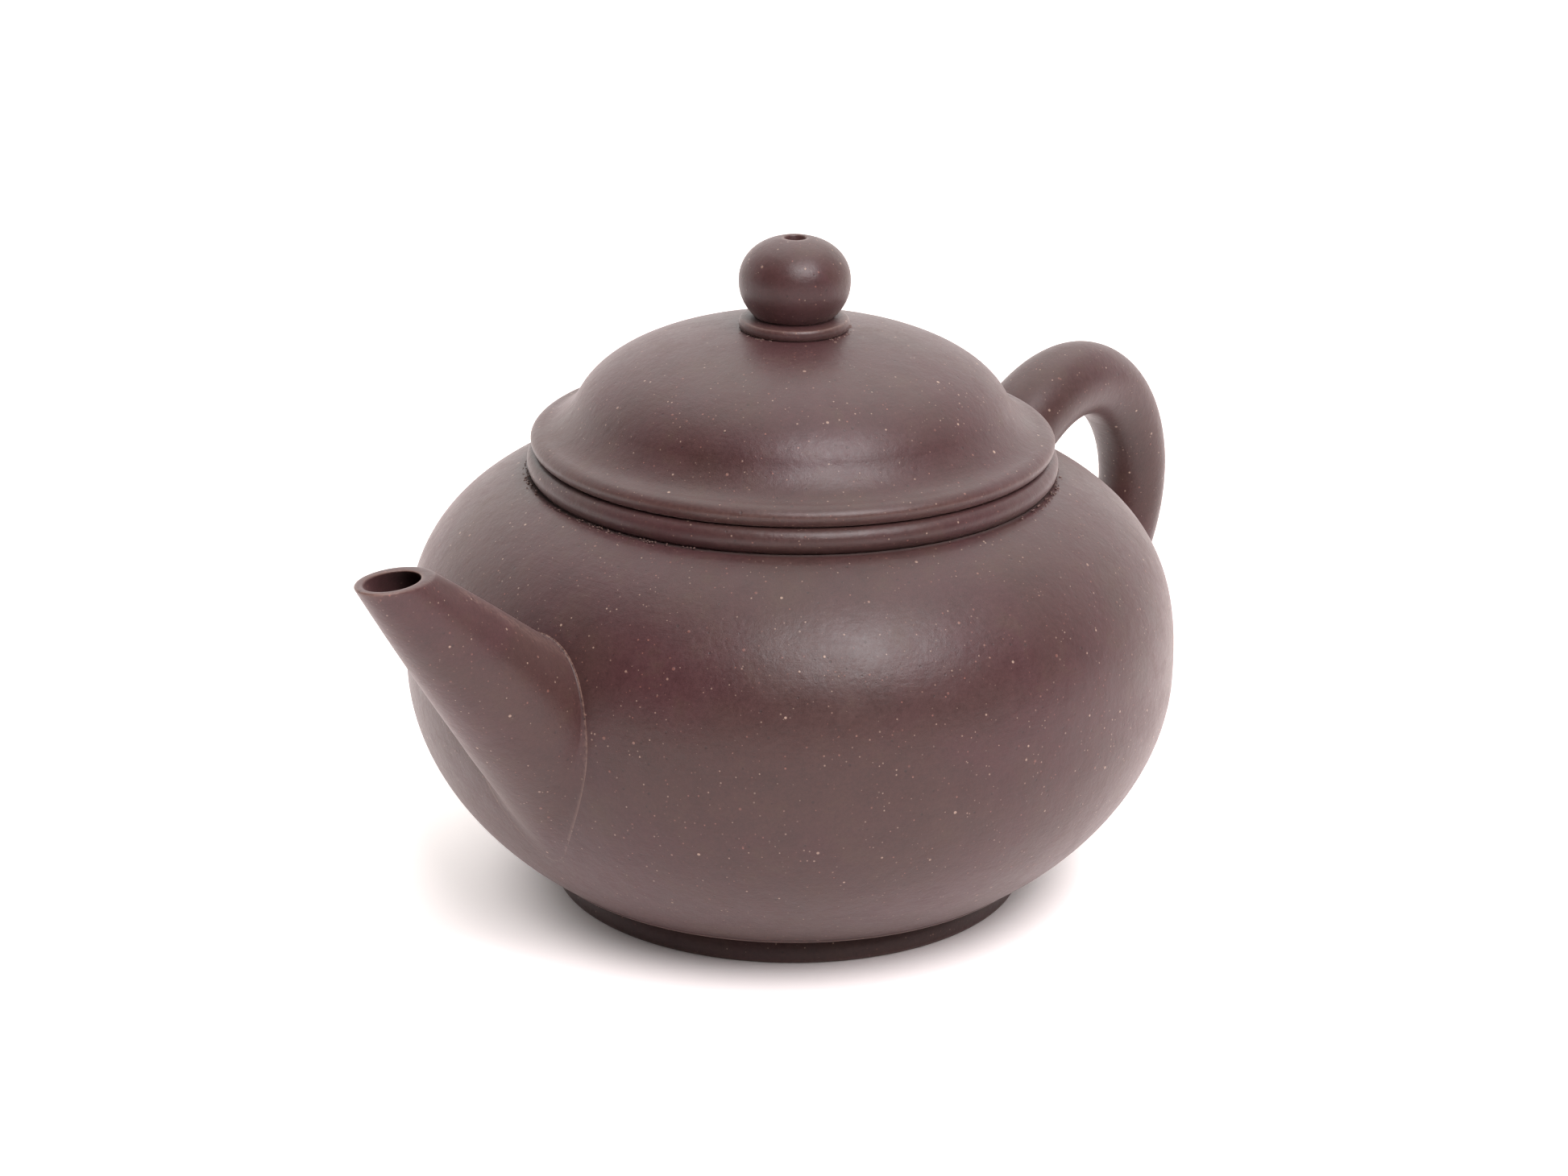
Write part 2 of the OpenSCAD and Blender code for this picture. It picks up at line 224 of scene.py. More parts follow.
def clay(name, tone=1.0, dryness=0.0):
    board = Board(bpy.data.materials.new(name))
    position = board.add("ShaderNodeTexCoord", {}, {}, output="Object")
    # the patterns are sized in millimetres
    toMm = {"Vector": position, "Scale": (1 / mm,) * 3}
    place = board.add("ShaderNodeMapping", {"vector_type": "POINT"}, toMm)
    x, y, z = board.add("ShaderNodeSeparateXYZ", {}, {0: place}, output="all")
    turn = board.add("ShaderNodeMath", {"operation": "ARCTAN2"}, {0: y, 1: x})
    across = (x * x + y * y) ** 0.5

    # burnishing strokes run round the pot: long in angle, fine in height and radius
    roundwards, outwards, upwards = clayLook["strokeFineness"]
    way = {0: turn * roundwards, 1: across * outwards, 2: z * upwards}
    stroke = board.noise(board.add("ShaderNodeCombineXYZ", {}, way), 1.0, 2.0, 0.6)
    scales = clayLook["scales"]
    strokeMask = board.noise(place, scales["wander"], 2.0).between(0.45, 0.62)

    patches = board.noise(place, scales["patches"], 3.0, 0.55, 0.4)
    clouds = board.noise(place, scales["clouds"], 5.0, 0.65)
    grain = board.noise(place, scales["grain"], 2.0, 0.6)
    fine = board.noise(place, scales["fine"], 1.0, 0.5)
    peel = board.noise(place, scales["peel"], 1.0, 0.5)
    worn = board.add("ShaderNodeAttribute", {"attribute_name": "worn"}, {}, output="Fac")
    rubAndRidgeSheen = board.add("ShaderNodeAttribute", {"attribute_name": "rubAndRidgeSheen"}, {}, output="Fac")
    creaseShadeFactor = board.add("ShaderNodeAttribute", {"attribute_name": "paintedCreaseShade"}, {}, output="Fac")

    colour = board.mix(patches.between(0.35, 0.62), clayLook["brown"], clayLook["plum"])
    colour = board.mix(clouds.between(0.52, 0.75) * 0.55, colour, clayLook["olive"])
    depth = 0.56 + 0.62 * clouds + 0.5 * (grain - 0.35) + 0.3 * (fine - 0.5)
    grey = board.add("ShaderNodeCombineColor", {}, {0: depth * tone, 1: depth * tone, 2: depth * tone})
    colour = board.mix(1.0, colour, grey, "MULTIPLY")
    # painted shade: creases and hollows are darkened
    colour = board.mix(creaseShadeFactor * 0.3, colour, clayLook["paintedShadeColour"])
    colour = board.mix(worn * (0.35 + 0.9 * grain) * 0.45, colour, clayLook["worn"])
    # rubbed wear, plus the painted highlight along the spout's top ridges
    colour = board.mix(rubAndRidgeSheen * grain.between(0.38, 0.62), colour, clayLook["worn"])

    grains, grainTint = specks(board, place, clayLook["grains"])
    dust, dustTint = specks(board, place, clayLook["dust"])
    soot = specks(board, place, clayLook["soot"])[0]
    tint = board.mix(grainTint.between(0.35, 0.65), clayLook["redGrain"], clayLook["paleGrain"])
    colour = board.mix(soot * 0.5, colour, clayLook["darkGrain"])
    colour = board.mix(grains * (0.25 + 0.6 * grainTint), colour, tint)
    colour = board.mix(dust * (0.2 + 0.5 * dustTint), colour, tint)

    roughness = clayLook["roughness"] + dryness + 0.10 * (clouds - 0.5) + 0.16 * (grain - 0.5)
    roughness = roughness - 0.05 * worn + 0.06 * strokeMask * stroke
    relief = clayLook["relief"]
    height = relief["grain"] * grain + relief["fine"] * fine + relief["peel"] * peel
    height = height + relief["stroke"] * stroke * strokeMask
    height = height + relief["grains"] * grains - relief["grains"] * soot
    bump = {"Strength": clayLook["bump"], "Distance": mm, "Height": height}
    normal = board.add("ShaderNodeBump", {}, bump, output="Normal")
    surface = board.add(
        "ShaderNodeBsdfPrincipled",
        {},
        {
            "Base Color": colour, "Roughness": roughness, "Normal": normal, "IOR": 1.43,
            "Sheen Weight": clayLook["sheen"], "Sheen Roughness": 0.5, "Sheen Tint": clayLook["sheenTint"],
        },
    )
    board.add("ShaderNodeOutputMaterial", {}, {"Surface": surface})
    return board.owner


print("materials")
purpleClay = clay("purple_clay")
innerClay = clay("inner_clay", tone=0.85, dryness=0.2)
footClay = clay("foot_clay", tone=0.8, dryness=0.12)


# mesh helpers

wear = {
    "from": 0.35,         # how sharp an edge or a crease must be to show any
    "over": 1.6,          # and how much sharper to show it in full
}


def markEdges(mesh):
    # how far each point of the surface bulges out or is tucked in, for edge wear and for painted shade in
    # the creases
    bulge = [0.0] * len(mesh.vertices)
    count = [0] * len(mesh.vertices)
    for edge in mesh.edges:
        first, second = (mesh.vertices[index] for index in edge.vertices)
        gap = (first.co - second.co) / mm
        turn = (first.normal - second.normal).dot(gap) / max(gap.length_squared, 1e-6)
        for vertex in (first, second):
            bulge[vertex.index] += turn
            count[vertex.index] += 1
    bulge = [total / max(number, 1) for total, number in zip(bulge, count)]
    worn = mesh.attributes.new("worn", "FLOAT", "POINT")
    paintedCreaseShade = mesh.attributes.new("paintedCreaseShade", "FLOAT", "POINT")
    for layer, sign in ((worn, 1), (paintedCreaseShade, -1)):
        shares = [min(max((sign * value - wear["from"]) / wear["over"], 0), 1) for value in bulge]
        layer.data.foreach_set("value", shares)


def finishPiece(name, shape, body, material, replaced):
    bmesh.ops.remove_doubles(shape, verts=shape.verts, dist=1e-4)
    bmesh.ops.recalc_face_normals(shape, faces=shape.faces)
    bmesh.ops.scale(shape, vec=(mm, mm, mm), verts=shape.verts)
    mesh = bpy.data.meshes.new(name)
    shape.to_mesh(mesh)
    shape.free()
    for face in mesh.polygons:
        face.use_smooth = True
    markEdges(mesh)
    mesh.materials.append(material)
    piece = bpy.data.objects.new(name, mesh)
    bpy.context.scene.collection.objects.link(piece)
    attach(piece, body)
    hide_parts(*replaced)
    return piece


def lathe(outline, segments, closed=True):
    # the outline is radius and height, and it is spun once round the pot's axis
    shape = bmesh.new()
    points = [shape.verts.new((radius, 0, height)) for radius, height in outline]
    edges = [shape.edges.new(pair) for pair in zip(points, points[1:])]
    if closed:
        edges.append(shape.edges.new((points[-1], points[0])))
    bmesh.ops.spin(
        shape, geom=points + edges, axis=(0, 0, 1), cent=(0, 0, 0),
        angle=math.tau, steps=segments, use_merge=True,
    )
    return shape


def skin(across, around, place, closed=False, crisp=(), rubAndSheen=None):
    # a grid wrapped into a tube: place gives the point for a step along it and a turn round it
    shape = bmesh.new()
    bmesh.ops.create_grid(shape, x_segments=across, y_segments=around, size=0.5)
    rows = {}
    rubAndRidgeSheen = shape.verts.layers.float.new("rubAndRidgeSheen")
    for vertex in shape.verts:
        along = round((vertex.co.x + 0.5) * across)
        turn = round((vertex.co.y + 0.5) * around) % around
        rows[vertex] = along % across if closed else along
        vertex.co = place(rows[vertex], math.tau * turn / around)
        # each point's rubbed wear and painted ridge highlight, if given
        vertex[rubAndRidgeSheen] = rubAndSheen(rows[vertex], math.tau * turn / around) if rubAndSheen else 0
    for edge in shape.edges:
        first, second = (rows[vertex] for vertex in edge.verts)
        edge.smooth = not (first == second and first in crisp)
    return shape


def arc(centre, radii, start, end, steps):
    return [
        (centre[0] + radii[0] * math.cos(a), centre[1] + radii[1] * math.sin(a))
        for a in (math.radians(start + (end - start) * i / steps) for i in range(steps + 1))
    ]


def cubic(points, t):
    a, b, c, d = points
    return a * (1 - t) ** 3 + b * (3 * t * (1 - t) ** 2) + c * (3 * t * t * (1 - t)) + d * t ** 3


def spread(low, high, steps):
    return [low + (high - low) * i / steps for i in range(steps + 1)]


# the pot

print("belly")


def makeBelly():
    steps = belly["steps"]
    edge = belly["edgeRound"]
    baseSeam = discHigh.x
    neckSeam = mouthHigh.x
    floorHeight = discHigh.z
    ceilingHeight = mouthLow.z
    lift = belly["edgeLift"]
    lowest = footTop + lift
    top = shoulderHeight - belly["topGap"]
    outer = [(bellyCurve(z), z) for z in spread(lowest, top, steps)]
    edgeRadius = bellyCurve(lowest)
    rounding = arc((edgeRadius - edge, lowest), (edge, lift), -90, 0, 12)
    inner = [(hollowCurve(z), z) for z in spread(ceilingHeight, floorHeight, steps // 2)]
    outline = [(baseSeam, footTop)] + rounding[:-1] + outer + [(neckSeam, top)]
    outline += inner + [(baseSeam, floorHeight)]
    shape = lathe(outline, belly["segments"])
    finishPiece("belly", shape, "pot", purpleClay, ["belly_shell"])


makeBelly()

neck = {
    "mouthSize": 45.2,
    "ridge": 1.1,         # how far the rounded band stands out
    "from": -58,          # the part of a circle that its side is rounded by, in degrees
    "to": 84,
    "flatIn": 1.4,        # the flat top starts this far in from the side
    "sink": 0.03,         # how far it is pressed into the shoulder
    "crease": 0.05,       # depth of the crease under it
    "mouthEdge": 0.35,    # rounding of the mouth's edge
    "segments": 192,
}


def makeNeck():
    outerRadius = neckHigh.y
    mouthRadius = neck["mouthSize"] / 2
    low = shoulderHeight - neck["sink"]
    middle = (low + rimHeight) / 2
    half = (rimHeight - low) / 2
    edge = neck["mouthEdge"]
    side = (outerRadius - neck["ridge"], middle)
    band = arc(side, (neck["ridge"], half), neck["from"], neck["to"], 28)
    outline = [(mouthRadius, shoulderHeight), (outerRadius - 1.0, low), (band[0][0] - neck["crease"], low)]
    outline += band + [(outerRadius - neck["flatIn"], rimHeight), (mouthRadius + edge + 0.05, rimHeight)]
    outline += arc((mouthRadius + edge, rimHeight - edge), (edge, edge), 90, 180, 5)
    shape = lathe(outline, neck["segments"])
    finishPiece("neckBand", shape, "pot", purpleClay, ["neck_ring"])


print("neck")
makeNeck()

foot = {
    "lean": 0.3,        # how far the ring leans in towards the belly
    "edge": 0.5,        # rounding of its lower edges
    "groove": 0.45,     # the tool's groove where it meets the belly
    "grooveOut": 0.12,  # and how far out its middle is from the leaning side
    "width": 3.4,
    "segments": 160,
}


def makeFoot():
    outer = nodeBox("foot_ring")[1].x
    inner = outer - foot["width"]
    edge = foot["edge"]
    groove = foot["groove"]
    upper = outer - foot["lean"]
    outline = arc((outer - edge, edge), (edge, edge), -90, 0, 6)
    outline += arc((upper + foot["grooveOut"], footTop - groove), (groove, groove), 250, 100, 8)
    outline += [(upper - 0.4, footTop), (inner, footTop)]
    outline += arc((inner + edge, edge), (edge, edge), 180, 270, 6)
    shape = lathe(outline, foot["segments"])
    finishPiece("footBand", shape, "pot", footClay, ["foot_ring"])


print("foot")
makeFoot()

spout = {
    "reach": 17.5,          # from the belly to the middle of the mouth
    "drop": -0.4,           # from the rim down to the middle of the mouth
    "angle": 45.0,
    "tipSize": 5.9,
    "rootSize": 17.0,
    "tipWall": 0.8,
    "rootWall": 2.4,
    "bulge": 0.2,           # how much fuller than a cone its middle is
    "rootIn": 8.0,          # the root size is reached this far inside the belly's widest circle
    "tail": 0.4,            # how much fuller the underside is where it runs out
    "tailFrom": 0.55,       # and where that starts, as a share of the length
    "pinch": 0.9,           # how much narrower it is on both sides of the tail
    "pinchFrom": 0.7,
    "cutAngle": 1.0,        # slope of the cut across the mouth
    "lip": 0.36,            # rounding of the mouth's edge
    "blendTop": 0.3,        # how wide the joint with the belly is, above
    "blendLow": 2.0,        # and below
    "step": 0.04,           # how far the joint's edge stands up from the belly
    "sunk": 0.3,            # how far the closed end is sunk into the belly
    "rubbedEdge": 0.8,      # and how pale the two ridges along the top are: partly rubbed, partly a painted grazing highlight
    "ridgeSheenAndRub": 0.22,    # and the two ridges along the top
    "ridgeTurn": 0.55,      # where those are, as an angle from the top
    "ridgeWidth": 0.16,
    "around": 128,
    "along": 48,
    "blendSteps": 8,
    "lipSteps": 8,
    "boreSteps": 20,
}
spoutTip = Vector((bellyRadius + spout["reach"], 0, rimHeight - spout["drop"]))
spoutLean = math.radians(spout["angle"])
spoutWay = Vector((-math.cos(spoutLean), 0, -math.sin(spoutLean)))    # from the mouth to the root
spoutOver = Vector((-math.sin(spoutLean), 0, math.cos(spoutLean)))    # up, across the spout
spoutLength = (spout["reach"] + spout["rootIn"]) / math.cos(spoutLean)


def spoutSize(s, turn):
    share = s / spoutLength
    grown = (spout["rootSize"] - spout["tipSize"]) * share * (1 + spout["bulge"] * (1 - share))
    low = max(-math.cos(turn), 0)
    tail = spout["tail"] * max(share - spout["tailFrom"], 0) ** 1.5 * 3.3 * low ** 2
    pinch = spout["pinch"] * max(share - spout["pinchFrom"], 0) * 6.6 * low * math.sin(turn) ** 2
    return (spout["tipSize"] + grown) / 2 + tail - pinch


def spoutBore(s, turn):
    share = max(s, 0) / spoutLength
    return spoutSize(s, 0) - spout["tipWall"] - (spout["rootWall"] - spout["tipWall"]) * share


def spoutPoint(s, turn, size):
    out = spoutOver * math.cos(turn) + Vector((0, 1, 0)) * math.sin(turn)
    return spoutTip + spoutWay * s + out * size(s, turn)


def search(low, high, above):
    # the place between low and high where above turns from true to false
    for _ in range(40):
        middle = (low + high) / 2
        if above(middle):
            low = middle
        else:
            high = middle
    return (low + high) / 2


def mouthPlane(point):
    lean = math.radians(spout["cutAngle"])
    return (point - spoutTip).dot(Vector((math.sin(lean), 0, math.cos(lean))))


def cutAt(turn, size):
    return search(-8.0, 12.0, lambda s: mouthPlane(spoutPoint(s, turn, size)) > 0)


def meetBelly(turn, size):
    return search(2.0, spoutLength + 12, lambda s: aboveBelly(spoutPoint(s, turn, size)) > 0)


def bend(first, corner, last, t):
    return first * (1 - t) ** 2 + corner * (2 * t * (1 - t)) + last * t * t


def makeSpout():
    runs = {}
    edgeRow = spout["along"] + spout["blendSteps"]

    def lineFor(turn):
        start = cutAt(turn, spoutSize)
        end = meetBelly(turn, spoutSize)
        boreStart = cutAt(turn, spoutBore)
        boreEnd = meetBelly(turn, spoutBore)
        below = (1 - math.cos(turn)) / 2
        below = below * below * (3 - 2 * below)
        width = spout["blendTop"] + (spout["blendLow"] - spout["blendTop"]) * below ** 3
        lift = spout["step"] * (1 - below ** 2)
        corner = spoutPoint(end, turn, spoutSize)
        away = corner - (spoutTip + spoutWay * end)
        slope = bellySlope(corner).normalized()
        away = (away - slope * away.dot(slope)).normalized()
        last = ontoBelly(corner + away * width * 0.8, lift)
        first = spoutPoint(end - width, turn, spoutSize)
        lip = spout["lip"]
        line = [spoutPoint(s, turn, spoutSize) for s in spread(start + lip, end - width, spout["along"])]
        line += [bend(first, corner, last, t) for t in spread(0, 1, spout["blendSteps"])[1:]]
        line += [ontoBelly(last + away * 0.04, -spout["sunk"])]
        line += [ontoBelly(spoutPoint(boreEnd, turn, spoutBore), -spout["sunk"])]
        bore = spread(boreEnd - 0.2, boreStart + lip, spout["boreSteps"] - 1)
        line += [spoutPoint(s, turn, spoutBore) for s in bore]
        inside = line[-1]
        outside = line[0]
        crown = (spoutPoint(start, turn, spoutSize) + spoutPoint(boreStart, turn, spoutBore)) / 2
        innerCorner = spoutPoint(boreStart, turn, spoutBore)
        outerCorner = spoutPoint(start, turn, spoutSize)
        half = spout["lipSteps"] // 2
        line += [bend(inside, innerCorner, crown, t) for t in spread(0, 1, half)[1:]]
        line += [bend(crown, outerCorner, outside, t) for t in spread(0, 1, half)[1:]]
        return line

    def place(along, turn):
        key = round(turn, 6)
        if key not in runs:
            runs[key] = lineFor(turn)
        line = runs[key]
        return line[along % len(line)]

    def rubAndSheen(along, turn):
        # the joint's edge is rubbed pale; the two ridges along the top are painted pale, partly rubbing and
        # partly a painted grazing highlight
        fromTop = min(turn, math.tau - turn)
        edge = max(1 - abs(along - edgeRow + 1) / 3, 0) * max(math.cos(fromTop * 0.75), 0)
        ridge = math.exp(-((fromTop - spout["ridgeTurn"]) / spout["ridgeWidth"]) ** 2)
        onTube = spout["lipSteps"] < along < edgeRow
        return spout["rubbedEdge"] * edge + (spout["ridgeSheenAndRub"] * ridge if onTube else 0)

    steps = len(lineFor(0.0))
    shape = skin(steps, spout["around"], place, closed=True, crisp=(edgeRow,), rubAndSheen=rubAndSheen)
    finishPiece("spoutTube", shape, "pot", purpleClay, ["spout"])


print("spout")
makeSpout()

handle = {
    "reach": 21.5,
    "drop": 3.7,
    "outHeight": 29.0,
    "lowHeight": 12.4,
    "sizes": [9.0, 8.46, 7.4, 6.51, 7.0],    # thickness at the roots and where the curves meet
    "flat": 1.06,           # width of the section for each unit of its thickness
    "topShare": 0.4,        # how far out its top is, as a share of the reach
    "lowShare": 0.26,       # and its lowest point
    "curveLength": 14.0,    # about the length of each curve of its middle line
    "blendTop": 0.9,        # how wide the joint with the belly is, above
    "blendLow": 1.3,        # and below
    "step": 0.05,           # how far the joint's edge stands up from the belly
    "sunk": 0.3,            # how far the closed ends are sunk into the belly
    "around": 64,
    "along": 110,
    "blendSteps": 8,
}


def flatPoint(out, height):
    return Vector((-out, 0, height))


def handleCurves():
    outX = bellyRadius + handle["reach"]
    topZ = rimHeight - handle["drop"]
    topX = bellyRadius + handle["topShare"] * handle["reach"]
    lowX = bellyRadius + handle["lowShare"] * handle["reach"]
    outZ = handle["outHeight"]
    lowZ = handle["lowHeight"]
    side = bellyRadius
    # distance out and height of each curve's ends and of the two points that pull it
    corners = [
        [(side - 6.5, topZ - 7.3), (side - 1.2, topZ - 2.8), (topX - 5.5, topZ), (topX, topZ)],
        [(topX, topZ), (topX + 7, topZ), (outX, outZ + 7.5), (outX, outZ)],
        [(outX, outZ), (outX, outZ - 8.5), (lowX + 8.5, lowZ), (lowX, lowZ)],
        [(lowX, lowZ), (lowX - 3.5, lowZ), (side - 3, lowZ + 0.9), (side - 8, lowZ + 2.8)],
    ]
    return [[flatPoint(*corner) for corner in curve] for curve in corners]


handleLine = handleCurves()


def handleMiddle(t):
    part = min(int(t), 3)
    return cubic(handleLine[part], t - part)


def handlePoint(t, turn):
    t = min(max(t, 0.0), 4.0)
    part = min(int(t), 3)
    middle = handleMiddle(t)
    way = (handleMiddle(min(t + 0.01, 4.0)) - handleMiddle(max(t - 0.01, 0.0))).normalized()
    side = Vector((0, 1, 0))
    out = way.cross(side)
    size = (handle["sizes"][part] + (handle["sizes"][part + 1] - handle["sizes"][part]) * (t - part)) / 2
    return middle + (out * math.cos(turn) + side * math.sin(turn) * handle["flat"]) * size


def makeHandle():
    runs = {}

    def lineFor(turn):
        top = search(1.0, 0.0, lambda t: aboveBelly(handlePoint(t, turn)) > 0)
        low = search(2.9, 4.0, lambda t: aboveBelly(handlePoint(t, turn)) > 0)

        def root(t, width):
            corner = handlePoint(t, turn)
            away = corner - handleMiddle(t)
            slope = bellySlope(corner).normalized()
            away = (away - slope * away.dot(slope)).normalized()
            last = ontoBelly(corner + away * width * 0.7, handle["step"])
            under = ontoBelly(last + away * 0.03, -handle["sunk"])
            return corner, last, under, ontoBelly(handleMiddle(t), -1.0)

        topSpan = handle["blendTop"] / handle["curveLength"]
        lowSpan = handle["blendLow"] / handle["curveLength"]
        corner, last, under, centre = root(top, handle["blendTop"])
        first = handlePoint(top + topSpan, turn)
        line = [centre, under]
        line += [bend(last, corner, first, t) for t in spread(0, 1, handle["blendSteps"])[:-1]]
        line += [handlePoint(t, turn) for t in spread(top + topSpan, low - lowSpan, handle["along"])]
        corner, last, under, centre = root(low, handle["blendLow"])
        first = handlePoint(low - lowSpan, turn)
        line += [bend(first, corner, last, t) for t in spread(0, 1, handle["blendSteps"])[1:]]
        line += [under, centre]
        return line

    def place(along, turn):
        key = round(turn, 6)
        if key not in runs:
            runs[key] = lineFor(turn)
        return runs[key][along]

    steps = len(lineFor(0.0)) - 1
    shape = skin(steps, handle["around"], place, crisp=(2, steps - 2))
    finishPiece("handleLoop", shape, "pot", purpleClay, ["handle"])


print("handle")
makeHandle()

# the lid

lid = {
    "domeIn": 3.8,          # the dome's wall is this far inside the lid's edge
    "domeHeight": 12.8,
    "fullness": 2.75,       # 2 would be an ellipse
    "footIn": 1.0,          # where the dome starts to sweep out
    "edgeThick": 2.2,
    "edgeRoll": 1.9,        # how far in the edge's upper side rolls over
    "rollTo": 74,           # and how far round it goes, in degrees
    "sweep": [(2.75, 0.22), (0.7, 0.43)],    # pulls of the hollow curve between edge and dome
    "seat": 5.3,            # radius of the flat place under the collar
    "wall": 2.4,
    "skirtWall": 2.2,
    "skirtEdge": 0.45,      # rounding of the skirt's lower edges
    "ventSize": 2.2,
    "segments": 192,
}
flangeHigh = nodeBox("lid_flange")[1]
skirtLow, skirtHigh = nodeBox("lid_skirt")
collarLow, collarHigh = nodeBox("knob_collar")
knobLow, knobHigh = nodeBox("knob")
lidRadius = flangeHigh.y
domeReach = lidRadius - lid["domeIn"]
skirtRadius = skirtHigh.y
lidInner = skirtRadius - lid["skirtWall"]


def domeTop(radius, reach, rise):
    return rimHeight + rise * max(1 - (radius / reach) ** 2, 0) ** (1 / lid["fullness"])


def makeLid():
    edgeHalf = lid["edgeThick"] / 2
    edgeTop = rimHeight + lid["edgeThick"]
    footRadius = domeReach - lid["footIn"]
    footHeight = domeTop(footRadius, domeReach, lid["domeHeight"])
    rolled = (lidRadius - lid["edgeRoll"], rimHeight + edgeHalf)
    roll = arc(rolled, (lid["edgeRoll"], edgeHalf), 0, lid["rollTo"], 16)
    (edgeIn, edgeUp), (domeOut, domeDown) = lid["sweep"]
    sweep = [
        Vector(roll[-1]),
        Vector((lidRadius - edgeIn, edgeTop + edgeUp)),
        Vector((footRadius + domeOut, footHeight - domeDown * (footHeight - edgeTop))),
        Vector((footRadius, footHeight)),
    ]
    vent = lid["ventSize"] / 2
    seat = lid["seat"]
    outline = [(lidInner, rimHeight), (lidRadius - edgeHalf - 0.4, rimHeight)]
    outline += arc((lidRadius - edgeHalf, rimHeight + edgeHalf), (edgeHalf, edgeHalf), -80, 0, 12)
    outline += roll[1:] + [tuple(cubic(sweep, t)) for t in spread(0, 1, 20)[1:]]
    for i in range(1, 61):
        r = seat + (footRadius - seat) * math.cos(math.radians(90 * i / 60))
        outline.append((r, domeTop(r, domeReach, lid["domeHeight"])))
    outline += [(vent, collarLow.z), (vent, collarLow.z - lid["wall"])]
    reach = lidInner + 0.2 * (domeReach - lidInner)
    for i in range(1, 33):
        r = vent + 0.5 + (lidInner - vent - 0.5) * math.sin(math.radians(90 * i / 32))
        outline.append((r, domeTop(r, reach, lid["domeHeight"] - lid["wall"])))
    shape = lathe(outline, lid["segments"])
    finishPiece("lidTop", shape, "lid", purpleClay, ["lid_flange", "lid_dome"])


print("lid")
makeLid()


def makeSkirt():
    low = skirtLow.z
    edge = lid["skirtEdge"]
    outline = [(lidInner, rimHeight)] + arc((lidInner + edge, low + edge), (edge, edge), 180, 270, 5)
    outline += arc((skirtRadius - edge, low + edge), (edge, edge), 270, 360, 5) + [(skirtRadius, rimHeight)]
    shape = lathe(outline, lid["segments"])
    finishPiece("lidSkirt", shape, "lid", innerClay, ["lid_skirt"])


makeSkirt()

knob = {
    "size": 11.4,
    "baseSize": 8.0,
    "lineShare": 0.44,      # height of the widest line, as a share of the ball's height
    "topPower": 0.91,       # under 1 the top is fuller than an ellipse
    "topCurve": 2.2,        # the same curve where the vent cuts it
    "collarEdge": 0.35,     # rounding of the collar's edge
    "segments": 128,
}


def makeKnob():
    radius = knob["size"] / 2
    base = knob["baseSize"] / 2
    seat = knobLow.z
    tall = knobHigh.z - knobLow.z
    line = seat + knob["lineShare"] * tall
    drop = (line - seat) / math.sqrt(1 - (base / radius) ** 2)
    rise = seat + tall - line
    vent = lid["ventSize"] / 2
    start = math.degrees(math.acos(base / radius))
    outline = [(vent, seat)] + arc((0, line), (radius, drop), -start, 0, 24)
    for i in range(1, 33):
        a = math.radians(90 * i / 32)
        r = radius * math.cos(a) ** knob["topPower"]
        z = line + rise * math.sin(a) ** knob["topPower"]
        if r > vent + 0.25:
            outline.append((r, z))
    curve = knob["topCurve"]
    top = line + rise * (1 - (vent / radius) ** curve) ** (1 / curve)
    outline += [(vent + 0.1, top - 0.03), (vent, top - 0.2)]
    shape = lathe(outline, knob["segments"])
    finishPiece("knobBall", shape, "lid", purpleClay, ["knob"])


def makeCollar():
    low, high = collarLow.z, collarHigh.z
    radius = collarHigh.x
    edge = knob["collarEdge"]
    vent = lid["ventSize"] / 2
    top = high - 0.15
    outline = [(vent, low)] + [(radius - edge - 0.1, low - 0.03)]
    outline += arc((radius - edge, (low + top) / 2), (edge, (top - low) / 2), -85, 80, 14)
    outline += [(knob["baseSize"] / 2 + 0.5, high - 0.03), (knob["baseSize"] / 2 - 0.1, high), (vent, high)]
    shape = lathe(outline, knob["segments"])
    finishPiece("knobCollar", shape, "lid", purpleClay, ["knob_collar"])


print("knob")
makeKnob()
makeCollar()

crumbs = {
    "count": 340,
    "small": 0.05,
    "large": 0.16,
    "seed": 11,
}


def makeCrumbs(name, body, count, low, high, seat):
    # dried crumbs of slip that were left along a joint, in clumps
    draw = random.Random(crumbs["seed"] + count)
    clumps = [(draw.uniform(0, math.tau), draw.uniform(0.05, 0.45)) for _ in range(9)]
    shape = bmesh.new()
    for _ in range(count):
        middle, width = draw.choice(clumps)
        turn = draw.gauss(middle, width)
        radius = low + (high - low) * draw.random() ** 2
        size = draw.uniform(crumbs["small"], crumbs["large"])
        point = seat(Vector((radius * math.cos(turn), radius * math.sin(turn), 0)))
        squeeze = Matrix.Diagonal((1, draw.uniform(0.6, 1.0), draw.uniform(0.35, 0.7), 1))
        pose = Matrix.Translation(point) @ Matrix.Rotation(draw.uniform(0, 3), 4, "Z") @ squeeze
        made = bmesh.ops.create_icosphere(shape, subdivisions=1, radius=size, matrix=pose)
        for vertex in made["verts"]:
            vertex.co += Vector([draw.uniform(-0.2, 0.2) * size for _ in range(3)])
    finishPiece(name, shape, body, purpleClay, [])


print("crumbs")
makeCrumbs(
    "neckCrumbs", "pot", crumbs["count"], neckHigh.y - 0.25, neckHigh.y + 0.45,
    lambda point: ontoBelly(Vector((point.x, point.y, shoulderHeight - 0.1))),
)
makeCrumbs(
    "collarCrumbs", "lid", crumbs["count"] // 4, collarHigh.y - 0.15, collarHigh.y + 0.3,
    lambda point: Vector((point.x, point.y, domeTop(point.length, domeReach, lid["domeHeight"]))),
)

